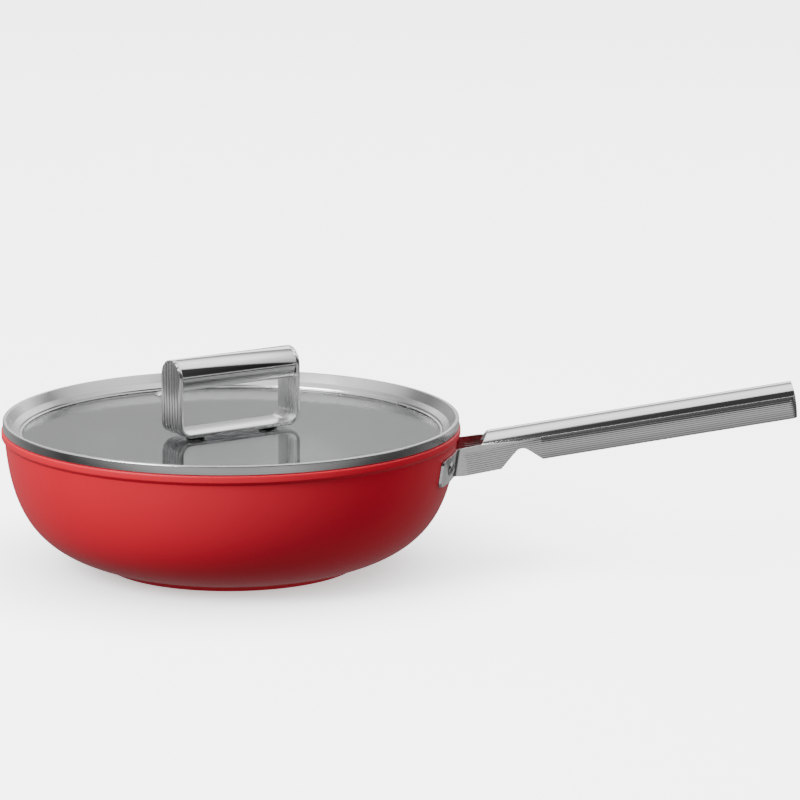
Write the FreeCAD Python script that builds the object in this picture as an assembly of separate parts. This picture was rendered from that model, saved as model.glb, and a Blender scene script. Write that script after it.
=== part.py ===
import FreeCAD, Part
import math
import os
from FreeCAD import Placement, Rotation, Vector

# Lidded wok for a hob: a forged aluminium bowl with one long steel handle, and a flat glass
# lid that drops into the bowl's mouth and rests on its rim.
#
# Frame: the origin is the centre of the foot, on the surface that the wok stands on. +Z is
# up and the long handle points along +X. Lengths are millimetres and angles are degrees.

# ---------------------------------------------------------------- bowl
WOK_HEIGHT = 93.0          # foot to the top of the rim
MOUTH_RADIUS = 149.6       # inside of the wall, at the rim
MOUTH_ROUND = 0.7          # rounding of the rim's inner edge
RIM_WALL = 2.2             # wall at the neck, just under the lip
LIP_OVERHANG = 2.2         # how far the lip stands out of the neck
LIP_BAND = 4.4             # upright height of the lip
LIP_SLOPE = 2.2            # height of the slope under the lip
LIP_ROUND = 1.0            # rounding of the lip's outer edge
FOOT_RADIUS = 86.0         # outside of the foot, where it stands
FOOT_FLARE = 2.0           # how much wider the foot is at its top
FOOT_HEIGHT = 3.2
FLOOR_THICK = 2.6          # floor above the foot's height
FLOOR_INSET = 16.0         # where the flat floor ends, inside the foot
LINING = 0.4               # non-stick lining

# The bowl's curves: their slopes, and how far each end's slope holds, as a share of the
# way out from foot or floor to rim, or of the way down from the rim.
KNUCKLE_ANGLE = 14.0       # rise of the outer wall as it leaves the foot
WALL_ANGLE = 85.6          # rise of both walls at the rim
KNUCKLE_HOLD = 0.633       # outside, from the foot
NECK_HOLD = 0.647          # outside, from the neck
FLOOR_HOLD = 0.915         # inside, from the floor
MOUTH_HOLD = 0.358         # inside, from the rim

# ---------------------------------------------------------------- induction disc
DISC_INSET = 11.0          # disc's edge inside the foot's edge
DISC_THICK = 1.6
DISC_FIT = 0.05            # gap round the disc in its recess

# ---------------------------------------------------------------- long handle
HANDLE_TILT = 9.4          # rise of the handle
HANDLE_GAP = 18.0          # lip to the front of the handle's top
HANDLE_DROP = 3.2          # rim down to the front of the handle's top
HANDLE_LENGTH = 206.0
HANDLE_WIDTH = 24.0
HANDLE_DEPTH = 23.0
HANDLE_WALL = 1.8          # gauge of the handle's sheet
TOP_DEPTH = 8.0            # how far the polished top comes down the sides
TOP_SCOOP = 6.2            # slant of the top's front end
TIP_ROUND = 5.0            # corners of the tip, seen from above
TIP_CROWN = 1.1            # bulge of the tip, seen from the side
TIP_HEEL = 2.0             # rounding of the tip's lower edge
STRAP_FIT = 0.1            # gap between the sheet and what is in it

# ---------------------------------------------------------------- fork and pads
FLARE_END = 28.0           # where the legs start to spread, along the handle
FLARE_ANGLE = 9.0          # spread of each leg
FORK_DROP = 1.5            # lower edge of the legs, below the handle's lower edge
FORK_LAP = 1.0             # legs run this far past the scallop
FORK_BEND = 3.4            # bend from leg to pad
FLARE_BEND = 30.0          # gentle bend where the spread starts
LEG_TOP = 20.0             # where the legs' upper edge meets the polished top
LEG_RISE = 2.4             # how much that edge rises towards the bowl
LEG_FRONT = -7.0           # where that rise ends, along the handle
PAD_HEIGHT = 18.6
PAD_DROP = 5.4             # top of the pad, below the neck
PAD_NEAR = 23.5            # where the pad leaves the bend, from the middle
PAD_REACH = 55.4           # end of the pad, from the middle
PAD_ROUND = 4.0            # corners of the pad
PAD_SEAT = 0.15            # paint and air between pad and wall
SCALLOP_START = 5.3        # front corner of the scallop, along the handle
SCALLOP_PEAK = 20.7        # its apex, along the handle
SCALLOP_TOP = 11.7         # its apex, above the handle's lower edge
SCALLOP_END = 33.8         # back corner
SCALLOP_ROUND = 6.0        # rounding of the apex

# ---------------------------------------------------------------- ribs of the long handle
RIB_PITCH = 1.45
RIB_GROOVE = 0.5           # width of a groove
RIB_DEPTH = 0.3            # depth of a groove
RIB_BORDER = 1.4           # first groove, below the polished top
RIB_MARGIN = 0.5           # plain edge under the last groove
RIB_START = -16.0          # front end of the grooves, along the handle

# ---------------------------------------------------------------- core, studs and nuts
CORE_START = 6.0           # front end of the core, along the handle
CORE_DEPTH = 12.3          # underside of the core, below the handle's top line
STUD_RADIUS = 2.0
STUD_COUNT = 3
STUD_FIRST = 44.0          # first stud, along the handle
STUD_END = 18.0            # last stud, from the handle's end
STUD_TAIL = 1.2            # stud showing below its nut
NUT_ACROSS = 7.0           # across flats
NUT_THICK = 3.2

# ---------------------------------------------------------------- pad rivets
RIVET_PLACE = 38.5         # rivet from the middle, across the handle
RIVET_RADIUS = 2.2
RIVET_HEAD = 5.0           # radius of the outer head
RIVET_DOME = 2.2           # height of the outer head
RIVET_FOOT = 5.6           # radius of the inner head
RIVET_FOOT_DOME = 1.5      # height of the inner head
RIVET_SEAT = 0.12          # heads stand this much off the curved walls

# ---------------------------------------------------------------- lid glass and ring
LID_TURN = 33.5            # how far the lid is turned on the rim
GLASS_FIT = 1.1            # gap between the glass's seal and the skirt
GLASS_THICK = 4.0
GLASS_DROP = 3.6           # top of the glass, below the rim
GLASS_EDGE = 1.0           # chamfer of the glass's edge
RING_GAUGE = 0.7           # sheet of the ring
RING_SET = 1.0             # ring's edge inside the lip's edge
RING_LIP = 6.6             # top of the ring, above the rim
RING_LIP_WIDTH = 1.9       # width of the lip's top, middle to middle of its sheet
RING_BEND = 0.6            # small bends of the ring
SKIRT_CLEAR = 1.0          # gap between the skirt and the lined mouth
FLANGE_LAP = 3.5           # how far the ring's flange reaches under the glass
STEP_OUT = 0.6             # foot of the ring's steep inner wall, outside the glass
STEP_RISE = 0.4            # height of that foot, above the rim
STEP_BEND = 1.5
BEAD_LAP = 3.6             # where the inner band turns down, inside the glass's edge
BEAD_HEIGHT = 1.7          # height of that turn above the glass
BAND_LAP = 6.0             # inner edge of the ring, inside the glass's edge
SEAL_THICK = 0.4
SEAL_LAP = 2.8             # how far the seal reaches over the glass
SEAL_ROUND = 0.05          # inner rounding of its corners

# ---------------------------------------------------------------- steam vent
VENT_INSET = 16.5          # vent from the glass's edge
VENT_ANGLE = 80.5          # vent from the lid handle's long axis
VENT_BORE = 1.5
VENT_TUBE = 2.8            # outside radius of the tube
VENT_FLANGE = 4.75
VENT_RISE = 1.5            # height of the eyelet above the glass
VENT_SHEET = 0.5           # thickness of the eyelet's outer brim and of its washer
VENT_TAIL = 0.6            # tube rolled out below the washer
VENT_FIT = 0.2             # gap between tube and glass

# ---------------------------------------------------------------- lid handle
LOOP_LENGTH = 94.0
LOOP_WIDTH = 24.0
LOOP_HEIGHT = 52.0
LOOP_GAUGE = 2.5
LOOP_CORNER = 9.0          # outer radius of the lower corners
LOOP_RIBS = 7
LOOP_GROOVE = 0.9          # width of a groove
LOOP_GROOVE_DEPTH = 0.7
GRIP_WALL = 1.6            # wall of the polished grip
GRIP_DEPTH = 11.0          # how far the polished grip comes down
INSERT_DEPTH = 21.0        # underside of the insert, below the grip's top
INSERT_STEP = 0.6          # insert set back from the grip's side
INSERT_ROUND = 8.0         # lower edges of the insert
INSERT_FIT = 0.1           # gap between insert and grip
SLOT_WIDTH = 0.9           # slot at each end of the insert
SLOT_TOP = 13.0            # slot, below the grip's top
SLOT_BOTTOM = 17.6

# ---------------------------------------------------------------- lid handle's fixings
POST_INSET = 18.5          # post from the loop's end
POST_RADIUS = 3.2
POST_SHY = 0.5             # post ends this much above the glass's underside
GROMMET_FLANGE = 6.0
GROMMET_THICK = 1.5
GROMMET_WALL = 0.5
FIXING_FIT = 0.1           # gap between the nested round pieces
WASHER_RADIUS = 6.5        # soft washer
WASHER_THICK = 1.0
CUP_RADIUS = 7.0           # steel washer
CUP_THICK = 0.8
SCREW_RADIUS = 2.0
SCREW_HEAD = 4.0
SCREW_HEAD_THICK = 2.6
SCREW_HEAD_ROUND = 0.8
SCREW_TIP = 0.3            # screw ends this much below the loop's plate
SOCKET_ACROSS = 2.5        # key across flats
SOCKET_DEPTH = 1.5

FULL_TURN = 360.0
FAR = 400.0                # longer than anything that a cut has to pass
DRILL = 40.0               # passes one wall of the bowl, and doesn't reach the other
OVERRUN = 1.0              # how far a form runs past the one that trims it
TINY = 1e-6                # two points this close are one
ORIGIN = Vector(0, 0, 0)
UP = Vector(0, 0, 1)
UPRIGHT = Placement(ORIGIN, Rotation(Vector(1, 0, 0), 90))   # drawing plane to XZ
SIDEWAYS = Placement(ORIGIN, Rotation(Vector(1, 1, 1), 120))  # drawing plane to YZ


# ================================================================ drawing
def flat(u, v):
    """A point of the drawing plane."""
    return Vector(u, v, 0)


def left_of(direction):
    return Vector(-direction.y, direction.x, 0)


def line(start, end):
    return Part.LineSegment(start, end).toShape()


def bezier(poles):
    curve = Part.BezierCurve()
    curve.setPoles(poles)
    return curve


def track(points, bends, offset=0.0):
    """Edges along a line with rounded corners, moved to its left by offset."""
    edges = []
    here = points[0]
    for before, corner, after, radius in zip(points, points[1:], points[2:], bends):
        into = (corner - before).normalize()
        out = (after - corner).normalize()
        half_turn = into.getAngle(out) / 2
        reach = radius * math.tan(half_turn)
        start, end = corner - into * reach, corner + out * reach
        shift_in, shift_out = left_of(into) * offset, left_of(out) * offset
        if here.distanceToPoint(start) > TINY:
            edges.append(line(here + shift_in, start + shift_in))
        if radius > 0:
            side = math.copysign(1, left_of(into).dot(out))
            centre = start + left_of(into) * radius * side
            to_corner = (corner - centre).normalize()
            middle = centre + to_corner * (radius - side * offset)
            edges.append(Part.Arc(start + shift_in, middle, end + shift_out).toShape())
        here = end
    if here.distanceToPoint(points[-1]) > TINY:
        shift = left_of((points[-1] - here).normalize()) * offset
        edges.append(line(here + shift, points[-1] + shift))
    return edges


def face_of(edges):
    return Part.Face(Part.Wire(Part.__sortEdges__(edges)))


def outline(points, rounds=None):
    """Closed face through these points. rounds gives the corner radii by index."""
    rounds = rounds or {}
    first = (points[0] + points[1]) * 0.5
    loop = [first] + points[1:] + [points[0], first]
    bends = [rounds.get(index, 0.0) for index in range(1, len(points))] + [rounds.get(0, 0.0)]
    return face_of(track(loop, bends))


def ribbon(points, bends, left, right):
    """Closed face of a bent strip, from left to right of its middle line."""
    one, other = track(points, bends, left), track(points, bends, -right)
    caps = [line(one[0].firstVertex(True).Point, other[0].firstVertex(True).Point),
            line(one[-1].lastVertex(True).Point, other[-1].lastVertex(True).Point)]
    return face_of(one + other + caps)


def rectangle(u0, v0, u1, v1):
    return outline([flat(u0, v0), flat(u1, v0), flat(u1, v1), flat(u0, v1)])


def moved(shape, placement):
    copy = shape.copy()
    copy.Placement = placement.multiply(copy.Placement)
    return copy


def turned(face):
    """Solid swept by a face of radius and height about the Z axis."""
    return moved(face, UPRIGHT).revolve(ORIGIN, UP, FULL_TURN)


def wall_through_y(face, width=2 * FAR):
    """Solid from a face of X and Z, centred across Y."""
    sheet = moved(face, UPRIGHT)
    sheet.translate(Vector(0, width / 2, 0))
    return sheet.extrude(Vector(0, -width, 0))


def bar_along_x(face, start, end):
    """Solid from a face of Y and Z, from start to end along X."""
    section = moved(face, SIDEWAYS)
    section.translate(Vector(start, 0, 0))
    return section.extrude(Vector(end - start, 0, 0))


def slab(low, high):
    """Everything between two heights."""
    box = Part.makeBox(2 * FAR, 2 * FAR, high - low)
    box.translate(Vector(-FAR, -FAR, low))
    return box


def peg(radius, low, high, x=0.0, y=0.0):
    return Part.makeCylinder(radius, high - low, Vector(x, y, low))


def tube(radius, bore, low, high, x=0.0, y=0.0):
    return peg(radius, low, high, x, y).cut(peg(bore, low, high, x, y))


def hexagon(across, low, high, x=0.0, y=0.0):
    corner = across / math.sqrt(3)
    points = [flat(corner * math.cos(turn), corner * math.sin(turn))
              for turn in (math.radians(60 * step) for step in range(6))]
    prism = outline(points).extrude(Vector(0, 0, high - low))
    prism.translate(Vector(x, y, low))
    return prism


def half_round(radius, depth):
    """Section with a half-round top at height 0, down to a depth."""
    spring = -radius
    arc = Part.Arc(flat(-radius, spring), ORIGIN, flat(radius, spring)).toShape()
    sides = track([flat(radius, spring), flat(radius, -depth),
                   flat(-radius, -depth), flat(-radius, spring)], [0.0, 0.0])
    return face_of([arc] + sides)


def lowered(face, drop):
    copy = face.copy()
    copy.translate(Vector(0, -drop, 0))
    return copy


def one_solid(shape):
    """The single solid of a cut or joined shape."""
    clean = shape.removeSplitter()
    return clean.Solids[0] if len(clean.Solids) == 1 else clean


# ================================================================ bowl
NECK_RADIUS = MOUTH_RADIUS + RIM_WALL
NECK_HEIGHT = WOK_HEIGHT - LIP_BAND - LIP_SLOPE
LIP_RADIUS = NECK_RADIUS + LIP_OVERHANG
FLOOR_RADIUS = FOOT_RADIUS - FLOOR_INSET
FLOOR_HEIGHT = FOOT_HEIGHT + FLOOR_THICK
LINED_MOUTH = MOUTH_RADIUS - LINING
DISC_RADIUS = FOOT_RADIUS - DISC_INSET
KNUCKLE_SLOPE = math.tan(math.radians(KNUCKLE_ANGLE))
WALL_SLOPE = 1 / math.tan(math.radians(WALL_ANGLE))


def outward(distance):
    """A step out from the foot, along the outer wall's first slope."""
    return flat(distance, distance * KNUCKLE_SLOPE)


def downward(distance):
    """A step down from the rim, along the wall's last slope."""
    return flat(-distance * WALL_SLOPE, -distance)


def outer_curve():
    """The bowl's outside, from the foot to the neck."""
    foot = flat(FOOT_RADIUS + FOOT_FLARE, FOOT_HEIGHT)
    neck = flat(NECK_RADIUS, NECK_HEIGHT)
    return bezier([foot, foot + outward((neck.x - foot.x) * KNUCKLE_HOLD),
                   neck + downward((neck.y - foot.y) * NECK_HOLD), neck])


def inner_curve(layer):
    """The bowl's inside, from the floor to the rim, under a layer."""
    floor = flat(FLOOR_RADIUS, FLOOR_HEIGHT)
    rim = flat(MOUTH_RADIUS, WOK_HEIGHT - MOUTH_ROUND)
    on_floor, on_wall = flat(0, layer), flat(-layer, 0)
    return bezier([floor + on_floor,
                   floor + flat((rim.x - floor.x) * FLOOR_HOLD, 0) + on_floor,
                   rim + downward((rim.y - floor.y) * MOUTH_HOLD) + on_wall,
                   rim + on_wall])


def reach_at(curve, height):
    """Radius of a rising curve at a height, and its slope there."""
    low, high = 0.0, 1.0
    while high - low > TINY:
        middle = (low + high) / 2
        if curve.value(middle).y < height:
            low = middle
        else:
            high = middle
    along = curve.tangent(low)[0]
    return curve.value(low).x, along.x / along.y


def make_bowl():
    outside, inside = outer_curve(), inner_curve(0.0)
    foot, neck = outside.getPole(1), outside.getPole(4)
    floor, mouth = inside.getPole(1), inside.getPole(4)
    rim = track([neck, flat(LIP_RADIUS, NECK_HEIGHT + LIP_SLOPE), flat(LIP_RADIUS, WOK_HEIGHT),
                 flat(MOUTH_RADIUS, WOK_HEIGHT), mouth], [LIP_ROUND, LIP_ROUND, MOUTH_ROUND])
    recess = DISC_RADIUS + DISC_FIT
    base = track([floor, flat(0, FLOOR_HEIGHT), flat(0, DISC_THICK), flat(recess, DISC_THICK),
                  flat(recess, 0), flat(FOOT_RADIUS, 0), foot], [0.0] * 5)
    return turned(face_of([outside.toShape(), inside.toShape()] + rim + base))


def make_lining():
    wall, cover = inner_curve(0.0), inner_curve(LINING)
    floor, top = wall.getPole(1), cover.getPole(1)
    edges = track([cover.getPole(4), wall.getPole(4)], [])
    edges += track([floor, flat(0, floor.y), flat(0, top.y), top], [0.0, 0.0])
    return turned(face_of([wall.toShape(), cover.toShape()] + edges))


def make_induction_disc():
    return peg(DISC_RADIUS, 0.0, DISC_THICK)


# ================================================================ long handle
TILT = math.radians(HANDLE_TILT)
HANDLE_FRONT = Vector(LIP_RADIUS + HANDLE_GAP, 0, WOK_HEIGHT - HANDLE_DROP)
HANDLE_FRAME = Placement(HANDLE_FRONT, Rotation(Vector(0, 1, 0), -HANDLE_TILT))
PAD_TOP = NECK_HEIGHT - PAD_DROP
PAD_BOTTOM = PAD_TOP - PAD_HEIGHT
PAD_MIDDLE = PAD_BOTTOM + PAD_HEIGHT / 2
LEG_MIDDLE = (HANDLE_WIDTH - HANDLE_WALL) / 2
FORK_DEPTH = HANDLE_DEPTH + FORK_DROP
SCALLOP_DEPTH = HANDLE_DEPTH - SCALLOP_TOP


def side_point(along, depth):
    """Where a place on the handle's side lies, as X and Z."""
    place = HANDLE_FRAME.multVec(Vector(along, 0, -depth))
    return flat(place.x, place.z)


def handle_block(inset, start):
    """The handle's whole form, made smaller all round by an inset, in its own frame."""
    half, tip = HANDLE_WIDTH / 2 - inset, HANDLE_LENGTH + TIP_CROWN - inset
    bar = bar_along_x(lowered(half_round(half, HANDLE_DEPTH), inset), start, tip)
    plan = outline([flat(start, -half), flat(tip, -half), flat(tip, half), flat(start, half)],
                   {1: TIP_ROUND - inset, 2: TIP_ROUND - inset})
    plan.translate(Vector(0, 0, -FAR))
    return bar.common(plan.extrude(Vector(0, 0, 2 * FAR)))


def tip_profile():
    """Side view of the handle's end: a shallow bulge and a rounded heel."""
    half = HANDLE_DEPTH / 2
    bulge = (half ** 2 + TIP_CROWN ** 2) / (2 * TIP_CROWN)
    centre = HANDLE_LENGTH + TIP_CROWN - bulge
    disc = Part.makeCylinder(bulge, 2 * FAR, Vector(centre, FAR, -half), Vector(0, -1, 0))
    end = disc.fuse(wall_through_y(rectangle(-FAR, -FAR, HANDLE_LENGTH, FAR)))
    heel = wall_through_y(outline([flat(-FAR, -HANDLE_DEPTH),
                                   flat(HANDLE_LENGTH + TIP_CROWN, -HANDLE_DEPTH),
                                   flat(HANDLE_LENGTH + TIP_CROWN, FAR), flat(-FAR, FAR)],
                                  {1: TIP_HEEL}))
    return end.common(heel)


def handle_sheet(start):
    """The bent sheet all round the handle's form, open below and at the front."""
    hollow = handle_block(HANDLE_WALL, start - OVERRUN)
    return handle_block(0.0, start).cut(hollow).common(tip_profile())


def make_handle_top():
    scoop = outline([flat(-TOP_SCOOP, -TOP_DEPTH), flat(HANDLE_LENGTH + FAR, -TOP_DEPTH),
                     flat(HANDLE_LENGTH + FAR, OVERRUN), flat(0, OVERRUN), flat(0, 0)])
    top = handle_sheet(-TOP_SCOOP - OVERRUN).common(wall_through_y(scoop))
    return moved(one_solid(top), HANDLE_FRAME)


def fork_line():
    """Middle line of one leg and its pad, seen from above, and the bends on it."""
    wall, _ = reach_at(outer_curve(), PAD_MIDDLE)
    radius = wall + PAD_SEAT + HANDLE_WALL / 2
    spread = math.tan(math.radians(FLARE_ANGLE))
    flare_x = side_point(FLARE_END, HANDLE_DEPTH / 2).x
    near = math.asin(PAD_NEAR / radius)
    far = math.asin(PAD_REACH / radius) + PAD_ROUND / radius
    pad_end = flat(math.cos(far), math.sin(far)) * radius
    pad_corner = (flat(math.cos((near + far) / 2), math.sin((near + far) / 2))
                  * (radius / math.cos((far - near) / 2)))
    tangent = flat(math.sin(near), -math.cos(near))
    pad_near = flat(math.cos(near), math.sin(near)) * radius
    leg_y = LEG_MIDDLE + (flare_x - pad_near.x) * spread
    run = (pad_near.y - leg_y) / (math.cos(near) - math.sin(near) * spread)
    fork_corner = pad_near + tangent * run
    points = [pad_end, pad_corner, fork_corner, flat(flare_x, LEG_MIDDLE),
              flat(flare_x + HANDLE_WIDTH, LEG_MIDDLE)]
    return points, [radius, FORK_BEND, FLARE_BEND]


def fork_legs(outer, inner):
    """Both legs and pads, between two distances from their middle line, before trimming."""
    _, slope = reach_at(outer_curve(), PAD_MIDDLE)
    points, bends = fork_line()
    low, high = PAD_BOTTOM - OVERRUN, WOK_HEIGHT
    leg = ribbon(points, bends, outer, inner)
    leg.translate(Vector(slope * (low - PAD_MIDDLE), 0, low))
    leg = leg.extrude(Vector(slope * (high - low), 0, high - low))
    return [leg, leg.mirror(ORIGIN, Vector(0, 1, 0))]


def fork_side():
    """Side view of the fork, with its scallop and the pads' rounded ends."""
    heel = (PAD_BOTTOM - HANDLE_FRONT.z + FORK_DEPTH * math.cos(TILT)) / math.sin(TILT)
    back = SCALLOP_END + FORK_LAP
    pad_front = HANDLE_FRONT.x - HANDLE_GAP - PAD_REACH
    side = outline([flat(pad_front, PAD_BOTTOM), side_point(heel, FORK_DEPTH),
                    side_point(SCALLOP_START, FORK_DEPTH),
                    side_point(SCALLOP_PEAK, SCALLOP_DEPTH),
                    side_point(SCALLOP_END, HANDLE_DEPTH),
                    side_point(back, HANDLE_DEPTH), side_point(back, TOP_DEPTH),
                    side_point(LEG_TOP, TOP_DEPTH),
                    side_point(LEG_FRONT, TOP_DEPTH - LEG_RISE),
                    flat(LIP_RADIUS, PAD_TOP), flat(pad_front, PAD_TOP)],
                   {1: FLARE_BEND, 3: SCALLOP_ROUND, 9: FLARE_BEND})
    window = outline([flat(-PAD_REACH, PAD_BOTTOM), flat(PAD_REACH, PAD_BOTTOM),
                      flat(PAD_REACH, PAD_TOP), flat(-PAD_REACH, PAD_TOP)],
                     {corner: PAD_ROUND for corner in range(4)})
    legs_only = rectangle(NECK_RADIUS, -FAR, FAR, FAR)
    allowed = bar_along_x(window, 0, FAR).fuse(wall_through_y(legs_only))
    return wall_through_y(side).common(allowed)


def rib_slabs():
    """Thin flat layers, one for each groove, in the handle's own frame."""
    layers = []
    depth = TOP_DEPTH + RIB_BORDER
    while depth + RIB_GROOVE / 2 < HANDLE_DEPTH - RIB_MARGIN:
        layer = slab(-depth - RIB_GROOVE / 2, -depth + RIB_GROOVE / 2)
        layers.append(layer.common(wall_through_y(rectangle(RIB_START, -FAR, FAR, FAR))))
        depth += RIB_PITCH
    return Part.makeCompound([moved(layer, HANDLE_FRAME) for layer in layers])


def rivet_frame(side):
    """Rivet's frame: origin on the pad's outer face, +Z out of the bowl."""
    wall, slope = reach_at(outer_curve(), PAD_MIDDLE)
    radius = wall + PAD_SEAT + HANDLE_WALL
    turn = math.degrees(math.asin(RIVET_PLACE / radius)) * side
    lean = math.degrees(math.atan(slope))
    out = Rotation(UP, turn).multiply(Rotation(Vector(0, 1, 0), 90 + lean))
    place = Rotation(UP, turn).multVec(Vector(radius, 0, PAD_MIDDLE))
    return Placement(place, out)


def rivet_holes():
    hole = peg(RIVET_RADIUS + STRAP_FIT, -DRILL, DRILL)
    return Part.makeCompound([moved(hole, rivet_frame(side)) for side in (-1, 1)])


def make_handle_strap():
    beyond = wall_through_y(outline([flat(SCALLOP_END, -HANDLE_DEPTH), flat(FAR, -HANDLE_DEPTH),
                                     flat(FAR, 0), flat(FLARE_END, 0), flat(FLARE_END, -TOP_DEPTH),
                                     flat(SCALLOP_PEAK, -SCALLOP_DEPTH)]))
    channel = handle_sheet(FLARE_END).common(slab(-HANDLE_DEPTH, -TOP_DEPTH)).common(beyond)
    side = fork_side()
    half = HANDLE_WALL / 2
    strap = moved(channel, HANDLE_FRAME).fuse([leg.common(side) for leg in fork_legs(half, half)])
    hollow = handle_block(RIB_DEPTH, FLARE_END - OVERRUN)
    channel_skin = moved(handle_block(0.0, FLARE_END).cut(hollow), HANDLE_FRAME)
    skin = Part.makeCompound([channel_skin] + fork_legs(half, RIB_DEPTH - half))
    return one_solid(strap.cut(rib_slabs().common(skin)).cut(rivet_holes()))


def make_handle_core():
    block = handle_block(HANDLE_WALL + STRAP_FIT, CORE_START)
    core = block.common(slab(-CORE_DEPTH, 0)).cut(stud_holes())
    return moved(core, HANDLE_FRAME)


def stud_places():
    step = (HANDLE_LENGTH - STUD_END - STUD_FIRST) / (STUD_COUNT - 1)
    return [STUD_FIRST + step * index for index in range(STUD_COUNT)]


def stud_holes():
    return Part.makeCompound([peg(STUD_RADIUS + STRAP_FIT, -HANDLE_DEPTH, 0, x=place)
                              for place in stud_places()])


def stud_top():
    """Height of a stud's flat top against the curved inside of the handle's top."""
    inner = HANDLE_WIDTH / 2 - HANDLE_WALL
    return math.sqrt(inner ** 2 - STUD_RADIUS ** 2) - HANDLE_WIDTH / 2


def make_handle_studs():
    low = -CORE_DEPTH - NUT_THICK - STUD_TAIL
    studs = [peg(STUD_RADIUS, low, stud_top(), x=place) for place in stud_places()]
    return moved(Part.makeCompound(studs), HANDLE_FRAME)


def make_handle_nuts():
    low, high = -CORE_DEPTH - NUT_THICK, -CORE_DEPTH
    nuts = [hexagon(NUT_ACROSS, low, high, x=place).cut(peg(STUD_RADIUS, low, high, x=place))
            for place in stud_places()]
    return moved(Part.makeCompound(nuts), HANDLE_FRAME)


def domed_head(radius, height, low):
    """A shallow dome that stands on a height."""
    ball = (radius ** 2 + height ** 2) / (2 * height)
    sphere = Part.makeSphere(ball, Vector(0, 0, low + height - ball))
    return sphere.common(slab(low, low + height))


def make_pad_rivets():
    wall, slope = reach_at(outer_curve(), PAD_MIDDLE)
    inside, _ = reach_at(inner_curve(LINING), PAD_MIDDLE)
    through = (wall - inside) * math.cos(math.atan(slope)) + PAD_SEAT + HANDLE_WALL
    inner = -through - RIVET_SEAT
    head = domed_head(RIVET_HEAD, RIVET_DOME, RIVET_SEAT)
    foot = domed_head(RIVET_FOOT, RIVET_FOOT_DOME, 0.0).mirror(ORIGIN, UP)
    foot.translate(Vector(0, 0, inner))
    shank = peg(RIVET_RADIUS, inner - RIVET_FOOT_DOME / 2, RIVET_SEAT + RIVET_DOME / 2)
    rivet = one_solid(head.fuse([foot, shank]))
    return Part.makeCompound([moved(rivet, rivet_frame(side)) for side in (-1, 1)])


# ================================================================ lid
LID_FRAME = Placement(Vector(0, 0, WOK_HEIGHT), Rotation(UP, LID_TURN))
GLASS_TOP = -GLASS_DROP
GLASS_UNDER = GLASS_TOP - GLASS_THICK
PLATE_UNDER = GLASS_TOP + GROMMET_THICK
LOOP_TOP = PLATE_UNDER + LOOP_HEIGHT
GRIP_END = LOOP_LENGTH / 2 - LOOP_GAUGE
POST_PLACE = LOOP_LENGTH / 2 - POST_INSET
POSTS = (-POST_PLACE, POST_PLACE)
SKIRT_RADIUS = LINED_MOUTH - SKIRT_CLEAR
GLASS_RADIUS = SKIRT_RADIUS - RING_GAUGE - GLASS_FIT - SEAL_THICK
VENT_RADIUS = GLASS_RADIUS - VENT_INSET
VENT_X = VENT_RADIUS * math.cos(math.radians(VENT_ANGLE))
VENT_Y = VENT_RADIUS * math.sin(math.radians(VENT_ANGLE))
GROMMET_BORE = POST_RADIUS + FIXING_FIT
GROMMET_SLEEVE = GROMMET_BORE + GROMMET_WALL


def make_lid_ring():
    half = RING_GAUGE / 2
    skirt = SKIRT_RADIUS - half
    outer = LIP_RADIUS - RING_SET - half
    skirt_bend = GLASS_FIT + half
    low = GLASS_UNDER - SEAL_THICK - half
    top = RING_LIP - half
    on_glass = GLASS_TOP + half
    bead = GLASS_RADIUS - BEAD_LAP
    points = [flat(GLASS_RADIUS - FLANGE_LAP, low), flat(skirt, low), flat(skirt, half),
              flat(outer, half), flat(outer, top), flat(outer - RING_LIP_WIDTH, top),
              flat(GLASS_RADIUS + STEP_OUT, STEP_RISE), flat(bead, GLASS_TOP + BEAD_HEIGHT),
              flat(bead - RING_BEND, on_glass), flat(GLASS_RADIUS - BAND_LAP, on_glass)]
    bends = [skirt_bend, RING_BEND, RING_BEND, RING_BEND, RING_BEND,
             STEP_BEND, RING_BEND, RING_BEND]
    return turned(ribbon(points, bends, half, half))


def make_ring_seal():
    half = SEAL_THICK / 2
    bend = half + SEAL_ROUND
    inner, outer = GLASS_RADIUS - SEAL_LAP, GLASS_RADIUS + half
    low, high = GLASS_UNDER - half, GLASS_TOP + half
    points = [flat(inner, low), flat(outer, low), flat(outer, high), flat(inner, high)]
    return turned(ribbon(points, [bend, bend], half, half))


def make_lid_glass():
    points = [flat(0, GLASS_UNDER), flat(GLASS_RADIUS - GLASS_EDGE, GLASS_UNDER),
              flat(GLASS_RADIUS, GLASS_UNDER + GLASS_EDGE),
              flat(GLASS_RADIUS, GLASS_TOP - GLASS_EDGE),
              flat(GLASS_RADIUS - GLASS_EDGE, GLASS_TOP), flat(0, GLASS_TOP)]
    holes = [peg(GROMMET_SLEEVE + FIXING_FIT, -FAR, FAR, x=place) for place in POSTS]
    holes.append(peg(VENT_TUBE + VENT_FIT, -FAR, FAR, VENT_X, VENT_Y))
    return turned(outline(points)).cut(holes)


def make_vent_eyelet():
    brim, crown = GLASS_TOP + VENT_SHEET, GLASS_TOP + VENT_RISE
    tail = GLASS_UNDER - VENT_SHEET - VENT_TAIL
    middle = (VENT_FLANGE + VENT_BORE) / 2
    collar = VENT_TUBE + VENT_TAIL
    points = [flat(VENT_TUBE, GLASS_TOP), flat(VENT_FLANGE, GLASS_TOP), flat(VENT_FLANGE, brim),
              flat(middle, crown), flat(VENT_BORE, brim),
              flat(VENT_BORE, tail), flat(collar, tail), flat(VENT_TUBE, tail + VENT_TAIL)]
    eyelet = turned(outline(points, {3: VENT_SHEET}))
    eyelet.translate(Vector(VENT_X, VENT_Y, 0))
    return eyelet


def make_vent_washer():
    return tube(VENT_FLANGE, VENT_TUBE, GLASS_UNDER - VENT_SHEET, GLASS_UNDER, VENT_X, VENT_Y)


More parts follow.
